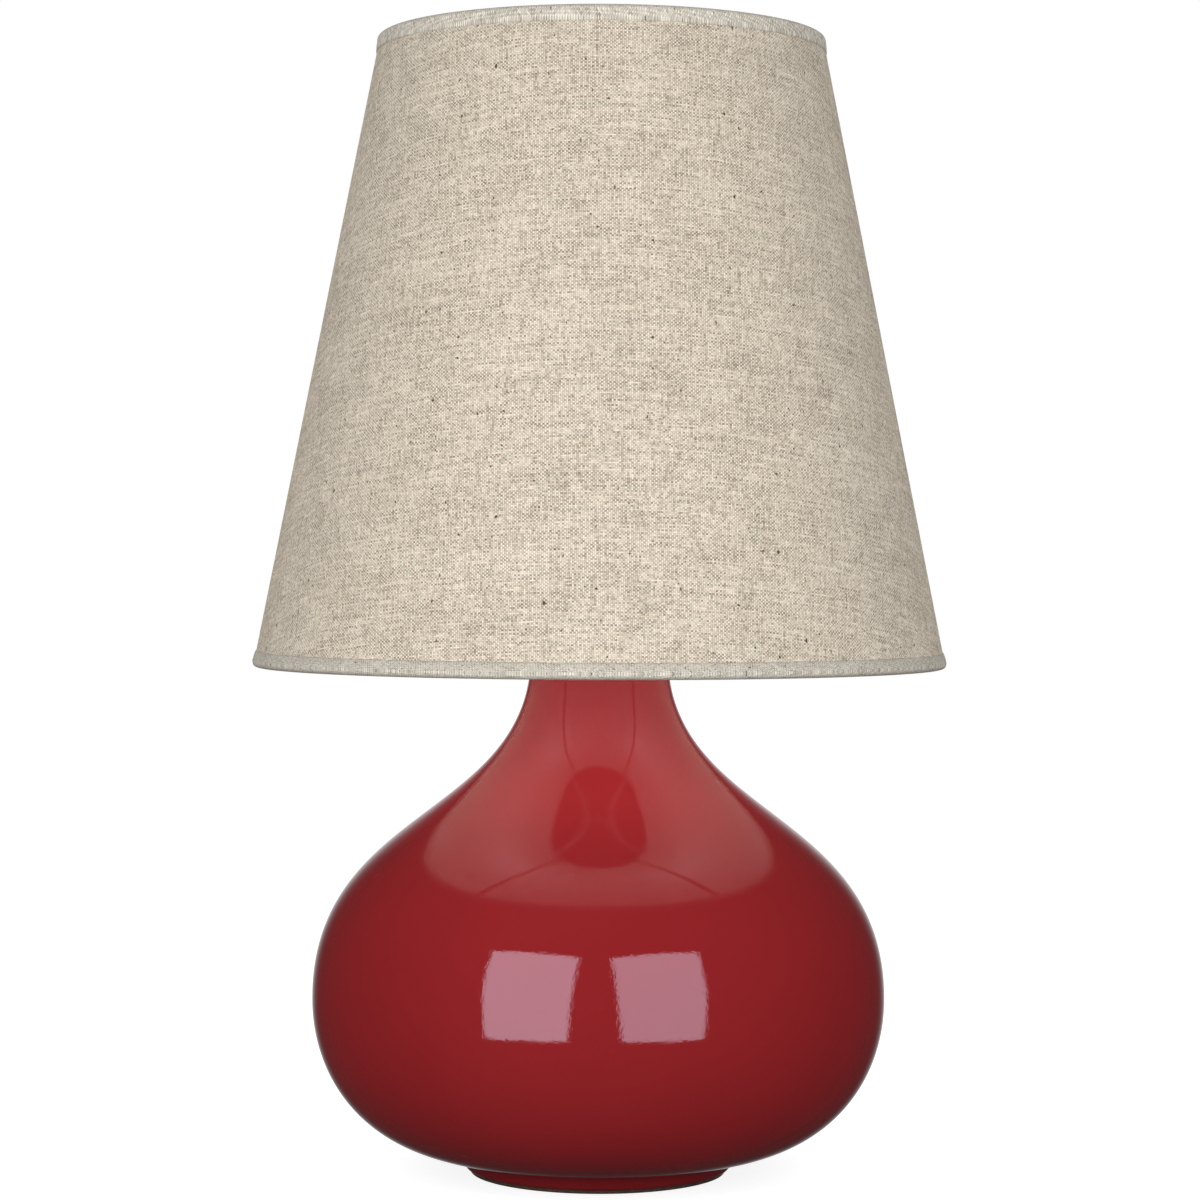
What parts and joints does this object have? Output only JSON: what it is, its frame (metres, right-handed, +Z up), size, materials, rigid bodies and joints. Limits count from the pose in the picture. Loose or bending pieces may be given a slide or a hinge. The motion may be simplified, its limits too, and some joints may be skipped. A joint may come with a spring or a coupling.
{
  "type": "table lamp",
  "caption": "Table lamp with a glazed ceramic onion-shaped gourd base, a tapered linen shade on a harp, a turn-knob socket and a screw-in bulb.",
  "frame": {"origin": "centre of the felt on the table, under the lamp's axis", "axes": "+Z up along the lamp's axis, -Y towards the front with the switch knob, +Y towards the cord inlet"},
  "size_m": [0.3708, 0.3708, 0.607],
  "materials": {
    "red_glaze": "glossy transparent glaze over a wine-red body, soft at the foot",
    "linen": "oatmeal linen, plain weave with slubs",
    "trim_tape": "bias-cut tape, fine twill look",
    "shade_lining": "smooth cream sheet",
    "white_wire": "off-white coated wire",
    "brass": "polished and lacquered",
    "steel": "zinc plated",
    "rubber": "plain black",
    "felt": "brown pressed felt",
    "black_plastic": "moulded, fine grain",
    "phenolic": "dark moulded block",
    "fibre": "brown insulating fibre",
    "bulb_metal": "rolled thread shell",
    "bulb_glass": "frosted white",
    "black_glass": "opaque insulating glass"
  },
  "bodies": {
    "base": {"felt_pad": "felt", "ceramic_body": "red_glaze", "cord_bushing": "black_plastic", "threaded_pipe": "steel", "rubber_washer": "rubber", "bottom_washer": "steel", "lock_washer": "steel", "bottom_nut": "steel", "vase_cap": "brass", "neck_spool": "brass", "harp_saddle": "brass", "saddle_nut": "brass", "socket_cap": "brass", "set_screw": "steel", "socket_shell": "brass", "socket_sleeve": "fibre", "socket_body": "phenolic", "screw_shell": "bulb_metal", "centre_contact": "brass", "terminal_screws": "brass"},
    "switch": {"switch_shaft": "brass", "switch_knob": "black_plastic"},
    "bulb": {"bulb_glass": "bulb_glass", "bulb_base": "bulb_metal", "bulb_insulator": "black_glass", "bulb_contact": "steel"},
    "harp": {"harp_wire": "brass"},
    "left_ferrule": {"ferrule_left": "brass"},
    "right_ferrule": {"ferrule_right": "brass"},
    "stud": {"harp_stud": "brass"},
    "shade": {"spider_hub": "white_wire", "spider_arms": "white_wire", "top_ring": "white_wire", "bottom_ring": "white_wire", "shade_liner": "shade_lining", "shade_cloth": "linen", "top_trim": "trim_tape", "bottom_trim": "trim_tape"},
    "finial": {"finial": "brass"}
  },
  "joints": [
    {"name": "switch_turn", "type": "hinge", "parent": "base", "child": "switch", "pos_m": [0, -0.021, 0.3321], "axis": [0, -1, 0], "continuous": true},
    {"name": "bulb_lift", "type": "slide", "parent": "base", "child": "bulb", "axis": [0, 0, 1], "range_m": [0, 0.03]},
    {"name": "harp_lift", "type": "slide", "parent": "base", "child": "harp", "axis": [0, 0, 1], "range_m": [0, 0.05]},
    {"name": "left_ferrule_lift", "type": "slide", "parent": "harp", "child": "left_ferrule", "axis": [0, 0, 1], "range_m": [0, 0.012]},
    {"name": "right_ferrule_lift", "type": "slide", "parent": "harp", "child": "right_ferrule", "axis": [0, 0, 1], "range_m": [0, 0.012]},
    {"name": "shade_swivel", "type": "hinge", "parent": "harp", "child": "stud", "pos_m": [0, 0, 0.5675], "axis": [0, 0, 1], "continuous": true},
    {"name": "shade_lift", "type": "slide", "parent": "stud", "child": "shade", "axis": [0, 0, 1], "range_m": [0, 0.33]},
    {"name": "finial_lift", "type": "slide", "parent": "shade", "child": "finial", "axis": [0, 0, 1], "range_m": [0, 0.03]}
  ]
}
